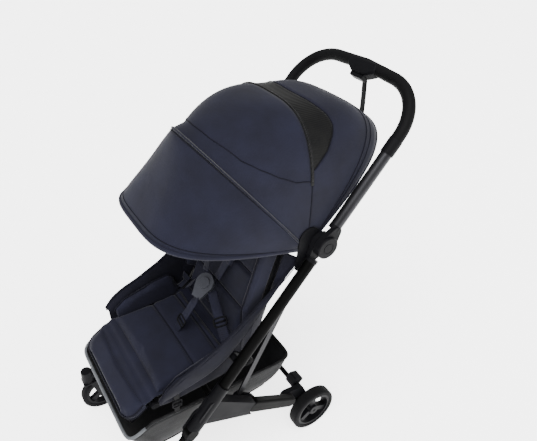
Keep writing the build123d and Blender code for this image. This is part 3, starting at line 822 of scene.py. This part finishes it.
class STROLLER_OT_shell(bpy.types.Operator):
    """Hangs the side panels, linings and gussets, the bend covers and the back cover"""

    bl_idname = "stroller.shell"
    bl_label = "Seat shell"

    def execute(self, context):
        cloth = context.scene.stroller_cloth
        rows, spans = 7, 6
        for name, sign in SIDES:
            top = spline([at(0, p) for p in SIDE_TOP], spans)
            low = spline([at(0, p) for p in SIDE_LOW], spans)
            points = []
            for r in range(rows):
                share = r / (rows - 1)
                for i, (a, b) in enumerate(zip(top, low)):
                    wave = 1.1 * math.sin(i * 0.55 + 2.2 * share) * math.sin(math.pi * share)
                    x = SIDE_X + 2.4 * math.sin(math.pi * share) + wave + 1.5 * share
                    p = a.lerp(b, share)
                    points.append((sign * x * MM, p.y, p.z))
            # The side panel takes the darker navy cloth, which carries painted shade.
            panel = piece(f"side_panel_{name}", points, quads(rows, len(top)),
                          "navy_painted_shade_polyester")
            thicken(panel, cloth.side_thickness, 1)
            finish_soft(panel, "chassis", ["side_cloths"])
            edge = [(sign * SIDE_X * MM, p.y, p.z + 0.001) for p in top]
            trim = [
                seam_thread(f"side_piping_{name}", edge, (0, -0.7, 0.7), cloth.piping_radius * 1.25,
                            "chassis"),
                seam_thread(f"side_stitch_{name}",
                            [(sign * (SIDE_X + 1.9) * MM, p.y, p.z - 0.009) for p in top],
                            (sign, 0, 0), cloth.seam_radius, "chassis"),
                seam_thread(f"side_hem_{name}",
                            [(sign * (SIDE_X + 1.5) * MM, p.y, p.z) for p in low],
                            (sign, 0, 0), cloth.seam_radius * 1.6, "chassis"),
            ]

        for name, sign in SIDES:
            guides = [[at(sign * x, (b, u)) for x, b, u in line]
                      for line in (LINING_TOP, LINING_LOW, LINING_FOOT, LINING_HEM)]
            seat = drape(f"seat_lining_{name}", guides, cloth.side_thickness)
            finish_soft(seat, "chassis")
            top = [at(sign * 177, p) for p in GUSSET_TOP]
            low = [at(sign * 161, back_point(v, -4)) for v in GUSSET_LOW]
            low.append(at(sign * 165, GUSSET_CORNER))
            gusset = drape(f"back_gusset_{name}", [top, low], cloth.side_thickness)
            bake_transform(gusset)
        for name, profile, half, mover, board in (
                ("seat_back_fold", BACK_FOLD, 165, "backrest", "back_board"),
                ("knee_fold", KNEE_FOLD, 146, "legrest", "legrest_board")):
            bridge = drape(name, [[at(x, p) for x in np.linspace(-half, half, 9)]
                                  for p in profile], cloth.side_thickness, "navy_woven_polyester")
            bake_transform(bridge)

        rows, columns = 15, 13
        points = []
        for r in range(rows):
            for c in range(columns):
                u, v = c / (columns - 1), r / (rows - 1)
                sag = 5 * math.sin(math.pi * u) * math.sin(math.pi * v) ** 0.5
                points.append(at(-157 + 314 * u, back_point(3 + 414 * v, -9.6 - sag)))
        cover = piece("back_cover", points, quads(rows, columns), "navy_woven_polyester")
        thicken(cover, cloth.canopy_thickness, 1)
        finish_soft(cover, "backrest")
        out = side_direction(BACK_NORMAL + 180)
        rim = [(-156, 5), (-156, 414), (156, 414), (156, 5)]
        path = [at(x, back_point(v, -10)) for x, v in rim]
        dense = [path[i].lerp(path[(i + 1) % 4], k / 12) for i in range(4) for k in range(12)]
        binding = sweep("back_cover_binding", dense, round_section(2.6 * MM, 0.8),
                        "navy_bias_binding", out=out, loop=True)
        finish_soft(binding, "backrest")
        return {"FINISHED"}


# ---- Harness -------------------------------------------------------------------------

BUCKLE_UP = Vector((0.25, -0.57, 0.78)).normalized()
BUCKLE_SIDE = Vector((0.9, 0.3, -0.08))
BUCKLE_ALONG = BUCKLE_UP.cross(BUCKLE_SIDE).normalized()
BUCKLE_ACROSS = BUCKLE_ALONG.cross(BUCKLE_UP)


def on_buckle(x, y, high=5):
    """Space point on the buckle, in millimetres across, along and above its back."""
    return (at(0, (-207, 516)) + BUCKLE_ACROSS * x * MM + BUCKLE_ALONG * y * MM
            + BUCKLE_UP * high * MM)


def hang(start, end, sag, count=17):
    """Points between two ends, dropping by sag at the middle."""
    return [start.lerp(end, i / (count - 1))
            - Vector((0, 0, 4 * sag * (i / (count - 1)) * (1 - i / (count - 1))))
            for i in range(count)]


def slider(name, path, share, width, out, body):
    """A moulded ladder slider round a strap: a rounded frame with a centre bar."""
    i = round(share * (len(path) - 1))
    run = (path[min(i + 1, len(path) - 1)] - path[i - 1]).normalized()
    lift = (Vector(out) - run * Vector(out).dot(run)).normalized()
    across, middle = run.cross(lift), path[i]
    w, h = width / 2 + 0.004, 0.011
    ring = []
    for k in range(28):
        a = 2 * math.pi * k / 28
        x = w * math.copysign(abs(math.cos(a)) ** 0.45, math.cos(a))
        y = h * math.copysign(abs(math.sin(a)) ** 0.45, math.sin(a))
        ring.append(middle + across * x + run * y + lift * 0.0012)
    border = sweep(name, ring, round_section(2.4 * MM, 0.8, 8), "black_moulded_nylon", out=lift,
                   loop=True)
    bar = sweep("bar", [middle - across * w + lift * 0.003, middle + lift * 0.0036,
                        middle + across * w + lift * 0.003],
                round_section(2.4 * MM, 0.7, 8), "black_moulded_nylon", out=lift)
    made = join(name, [border, bar])
    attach(made, body)
    return made


# First point of a shoulder strap that its pad covers.
PAD_START = 9


class STROLLER_OT_harness(bpy.types.Operator):
    """Threads the crotch, waist and shoulder straps with their sliders and pads"""

    bl_idname = "stroller.harness"
    bl_label = "Harness"

    def execute(self, context):
        up = Vector((0, 0, 1))
        forward = side_direction(BACK_NORMAL)
        path = spline([at(0, (-312, 393)), at(0, (-296, 414)), on_buckle(0, -62, 3),
                       on_buckle(0, -42, 4)], 8)
        crotch = sweep("crotch_webbing", path, strap_section(25 * MM, 2 * MM), "navy_webbing",
                       out=forward)
        finish_soft(crotch, "chassis", ["crotch_strap"])
        slider("crotch_slider", path, 0.42, 0.025, forward, "chassis")

        for name, sign in SIDES:
            path = hang(at(sign * 128, (-226, 432)), on_buckle(sign * 30, -8), 0.012)
            waist = sweep(f"waist_webbing_{name}", path, strap_section(25 * MM, 2 * MM),
                          "navy_webbing", out=up + forward * 0.4)
            finish_soft(waist, "chassis", ["waist_straps"])
            slider(f"waist_slider_{name}", path, 0.42, 0.025, up + forward * 0.4, "chassis")

            top = at(sign * 58, back_point(300, 44))
            low = on_buckle(sign * 20, 28)
            path = hang(low, top, 0.006, 25)
            strap = sweep(f"shoulder_webbing_{name}", path, strap_section(25 * MM, 2 * MM),
                          "navy_webbing", out=forward)
            covered = path[PAD_START:]
            pad = sweep(f"shoulder_pad_{name}", covered, strap_section(40 * MM, 9 * MM),
                        "navy_woven_polyester", out=forward)
            pad.modifiers.new("rounding", "SUBSURF").levels = 2
            settle(pad)
            inlet = spline([top, at(sign * 58, back_point(318, 36)),
                            at(sign * 58, back_point(330, 14))], 5)
            tail = sweep(f"shoulder_inlet_{name}", inlet, strap_section(25 * MM, 2 * MM),
                         "navy_webbing", out=forward)
            finish_soft(tail, "backrest")
            for obj in (strap, pad):
                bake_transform(obj)
            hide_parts("shoulder_straps")
        return {"FINISHED"}


# ---- Basket --------------------------------------------------------------------------

# Basket rings from the rim down: depth share, half width, front and rear ends, in mm.
BASKET_RINGS = ((0.0, 172, -518, -54), (0.25, 169, -508, -62), (0.5, 166, -492, -74),
                (0.72, 162, -474, -92), (0.88, 155, -452, -118), (0.97, 142, -425, -146),
                (1.0, 120, -396, -176), (1.02, 84, -360, -220), (1.03, 40, -320, -262),
                (1.03, 8, -296, -286))
RIM_BACK = (-519, -480, -449, -400, -330, -250, -150, -53)
RIM_UP = (300, 322, 338, 330, 322, 314, 306, 300)
FLOOR_BACK = (-519, -400, -150, -67)
# Superellipse power of the corners, and how far the flat sides are pulled in at mid depth.
BASKET_CORNER = 0.13
BASKET_FLAT_SIDE, BASKET_PULL = 1.25, 0.012
# Side line of the straps that hold the basket's sides up, from the rim to the seat.
STRAP_LINE = ((-392, 326), (-391, 350), (-389, 376), (-388, 399))
FLOOR_UP = (194, 195, 205, 207)


def basket_point(ring, turn):
    """Point on the basket's cloth, on a rounded rectangle that narrows with depth."""
    depth, half_width, front, rear = ring
    c, s = math.cos(turn), math.sin(turn)
    x = half_width * math.copysign(abs(c) ** BASKET_CORNER, c)
    back = (front + rear) / 2 + (rear - front) / 2 * math.copysign(abs(s) ** BASKET_CORNER, s)
    top = np.interp(back, RIM_BACK, RIM_UP)
    floor = np.interp(back, FLOOR_BACK, FLOOR_UP)
    middle = math.sin(math.pi * min(1, depth))
    slack = middle * (1.5 * math.sin(5 * turn) + 1.2 * math.cos(9 * turn + 1))
    if abs(c) + abs(s) < BASKET_FLAT_SIDE:
        x *= 1 - BASKET_PULL * middle
    return at(x, (back + slack * s, top + (floor - top) * depth))


class STROLLER_OT_basket(bpy.types.Operator):
    """Hangs the storage basket with its bound rim, seams and straps"""

    bl_idname = "stroller.basket"
    bl_label = "Basket"

    def execute(self, context):
        cloth = context.scene.stroller_cloth
        columns = 72
        turns = [2 * math.pi * i / columns for i in range(columns)]
        points = [basket_point(ring, t) for ring in BASKET_RINGS for t in turns]
        rings = len(BASKET_RINGS)
        faces = [(r * columns + c, r * columns + (c + 1) % columns,
                  (r + 1) * columns + (c + 1) % columns, (r + 1) * columns + c)
                 for r in range(rings - 1) for c in range(columns)]
        faces.append(tuple((rings - 1) * columns + c for c in range(columns)))
        bag = piece("basket_bag", points, faces, "black_nylon_cloth")
        thicken(bag, cloth.side_thickness, 1)
        finish_soft(bag, "chassis", ["basket"])
        rim = [basket_point(BASKET_RINGS[0], t) for t in turns]
        binding = sweep("basket_rim_binding", rim, round_section(3.4 * MM, 1.0, 10),
                        "black_webbing", out=(0, 0, 1), loop=True)
        pale = [basket_point(BASKET_RINGS[0], t) + Vector((0, -0.0006, 0.0012))
                for t in np.linspace(1.06 * math.pi, 1.94 * math.pi, 41)]
        tape = sweep("basket_front_tape", pale, round_section(4.0 * MM, 1.0, 10),
                     "grey_woven_tape", out=(0, 0, 1))
        lower = [basket_point(BASKET_RINGS[4], t) + Vector((0, 0, -0.001)) for t in turns]
        seam = sweep("basket_floor_seam", lower, round_section(1.6 * MM), "black_webbing",
                     out=(0, 0, 1), loop=True)
        for obj in (binding, tape, seam):
            finish_soft(obj, "chassis")
        straps = []
        for name, sign in SIDES:
            hold = spline([at(sign * 173.5, p) for p in STRAP_LINE], 5)
            strap = sweep(f"basket_strap_{name}", hold, strap_section(14 * MM, 1.6 * MM),
                          "black_webbing", out=(sign, 0, 0))
            finish_soft(strap, "chassis")
            clip = slider(f"basket_clip_{name}", hold, 0.45, 0.014, (sign, 0, 0), "chassis")
            straps += [strap, clip]
        return {"FINISHED"}


# ---- Handle strap --------------------------------------------------------------------

class STROLLER_OT_handle_strap(bpy.types.Operator):
    """Hangs the wrist strap from the release housing"""

    bl_idname = "stroller.handle_strap"
    bl_label = "Handle strap"

    def execute(self, context):
        low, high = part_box("handle_strap")
        middle = (low.y + high.y) / 2
        top = Vector((0, middle, high.z))
        drop = high.z - low.z
        path = [top + Vector((0.0008 * math.sin(5 * u), 0.0012 * math.sin(3 * u), -drop * u))
                for u in np.linspace(0, 1, 21)]
        strap = sweep("wrist_strap", path, strap_section(18 * MM, 2.6 * MM), "black_webbing",
                      out=(0, -1, 0))
        finish_soft(strap, "handle", ["handle_strap"])
        tab = [p + Vector((0, -0.0016, 0)) for p in path[-4:]]
        end = sweep("wrist_strap_end", tab, strap_section(18.4 * MM, 2.4 * MM), "black_webbing",
                    out=(0, -1, 0))
        finish_soft(end, "handle")
        return {"FINISHED"}


# ---- Frame finishes ------------------------------------------------------------------

NODE_FINISHES = {
    "black_powder_coat": ("main_tube_left", "main_tube_right", "front_leg_left",
                          "front_leg_right", "rear_arm_left", "rear_arm_right", "cross_bar",
                          "axle_bar"),
    "grey_anodised_aluminium": ("upper_tubes",),
    # The struts under the seat take the darker tube finish, which carries painted shade.
    "painted_shade_anodised_aluminium": ("struts",),
    "black_moulded_nylon": ("hub_bases", "hub_arms", "hub_caps", "canopy_mounts",
                            "junction_left", "junction_right", "rear_brackets",
                            "caster_housings", "caster_fork_left", "caster_fork_right",
                            "handle_collars", "release_housing", "release_button", "brake_pedal",
                            "seat_brackets", "legrest_hinges", "leg_cranks"),
    "grey_moulded_acetal": ("harness_buckle", "buckle_button"),
    "black_grip_foam": ("handle_grip",),
    "black_fibre_strip": ("canopy_front_bow", "canopy_ridge_bow", "canopy_middle_bow"),
    "black_polypropylene": ("seat_board", "back_board", "legrest_board", "rear_wheel_left",
                            "rear_wheel_right", "front_wheel_left", "front_wheel_right"),
    "black_tyre_rubber": ("rear_tyre_left", "rear_tyre_right", "front_tyre_left",
                          "front_tyre_right"),
}


class STROLLER_OT_finishes(bpy.types.Operator):
    """Makes the materials and gives each frame part its finish"""

    bl_idname = "stroller.finishes"
    bl_label = "Finishes"

    def execute(self, context):
        make_materials(context.scene.stroller_cloth, context.scene.stroller_hardware)
        for finish, nodes in NODE_FINISHES.items():
            for node in nodes:
                mesh = frame["nodes"][node].data
                mesh.materials.clear()
                mesh.materials.append(bpy.data.materials[finish])
        return {"FINISHED"}


# ---- Studio --------------------------------------------------------------------------

def softbox(name, place, target, size, power):
    """A square soft light that faces a point."""
    lamp = bpy.data.lights.new(name, "AREA")
    lamp.energy, lamp.size = power, size
    made = bpy.data.objects.new(name, lamp)
    bpy.context.scene.collection.objects.link(made)
    made.location = place
    made.rotation_euler = (Vector(target) - Vector(place)).to_track_quat("-Z", "Y").to_euler()
    return made


class STROLLER_OT_studio(bpy.types.Operator):
    """Lays the paper floor, hangs the soft lights and sets the camera"""

    bl_idname = "stroller.studio"
    bl_label = "Studio"

    def execute(self, context):
        studio = context.scene.stroller_studio
        # Backlit seamless paper: matte white with the faintest tooth, it carries a soft shadow.
        paper, tree, surface = blank("white_seamless_paper", Roughness=0.9, Specular_IOR_Level=0.1,
                                     Emission_Color=studio.floor,
                                     Emission_Strength=studio.floor_glow)
        place = add_node(tree, "ShaderNodeTexCoord").outputs["Object"]
        tooth = add_node(tree, "ShaderNodeTexNoise", {"Vector": place}, {"Scale": 400.0})
        shade = add_node(tree, "ShaderNodeValToRGB", {"Fac": tooth.outputs["Fac"]},
                         stops=((0.2, grey(0.93)), (0.8, studio.floor)))
        tree.links.new(shade.outputs["Color"], surface.inputs["Base Color"])
        half, rows = 9.0, 13
        points = [(-half + 2 * half * c / (rows - 1), -half + 2 * half * r / (rows - 1), 0)
                  for r in range(rows) for c in range(rows)]
        floor = piece("paper_floor", points, quads(rows, rows), "white_seamless_paper")

        world = bpy.data.worlds.new("white_room")
        world.use_nodes = True
        sky = world.node_tree.nodes["Background"]
        sky.inputs["Color"].default_value = linear("#ffffff")
        sky.inputs["Strength"].default_value = studio.room_light
        context.scene.world = world
        centre = (0, 0, 0.55)
        overhead = bpy.data.lights.new("overhead_softbox", "SUN")
        overhead.energy, overhead.angle = studio.key_power, math.radians(55)
        key = bpy.data.objects.new("overhead_softbox", overhead)
        key.rotation_euler = Vector(studio.key_turn).to_track_quat("Z", "Y").to_euler()
        context.scene.collection.objects.link(key)
        softbox("side_softbox", (2.4, 0.6, 1.9), centre, 1.8, studio.fill_power)

        lens = bpy.data.cameras.new("camera")
        lens.lens, lens.sensor_width, lens.sensor_fit = studio.lens, 36, "HORIZONTAL"
        camera = bpy.data.objects.new("camera", lens)
        camera.location, camera.rotation_euler = studio.camera_place, studio.camera_turn
        context.scene.collection.objects.link(camera)
        context.scene.camera = camera
        return {"FINISHED"}


# ---- Add-on --------------------------------------------------------------------------

OPERATORS = (STROLLER_OT_finishes, STROLLER_OT_canopy, STROLLER_OT_pads, STROLLER_OT_shell,
             STROLLER_OT_harness, STROLLER_OT_basket, STROLLER_OT_handle_strap,
             STROLLER_OT_studio)


class STROLLER_PT_panel(bpy.types.Panel):
    """Lists the stroller's pieces and their settings"""

    bl_label = "Stroller"
    bl_idname = "STROLLER_PT_panel"
    bl_space_type = "VIEW_3D"
    bl_region_type = "UI"
    bl_category = "Stroller"

    def draw(self, context):
        for operator in OPERATORS:
            self.layout.operator(operator.bl_idname)
        for name, group in SETTINGS:
            box = self.layout.box()
            for field in group.__annotations__:
                box.prop(getattr(context.scene, name), field)


CLASSES = tuple(group for _, group in SETTINGS) + OPERATORS + (STROLLER_PT_panel,)


def register():
    for item in CLASSES:
        bpy.utils.register_class(item)
    for name, group in SETTINGS:
        setattr(bpy.types.Scene, name, bpy.props.PointerProperty(type=group))


def unregister():
    for name, _ in SETTINGS:
        delattr(bpy.types.Scene, name)
    for item in reversed(CLASSES):
        bpy.utils.unregister_class(item)


def main():
    """Builds everything in order."""
    register()
    bpy.ops.stroller.finishes()
    bpy.ops.stroller.canopy()
    bpy.ops.stroller.pads()
    bpy.ops.stroller.shell()
    bpy.ops.stroller.harness()
    bpy.ops.stroller.basket()
    bpy.ops.stroller.handle_strap()
    bpy.ops.stroller.studio()


if __name__ == "__main__":
    main()
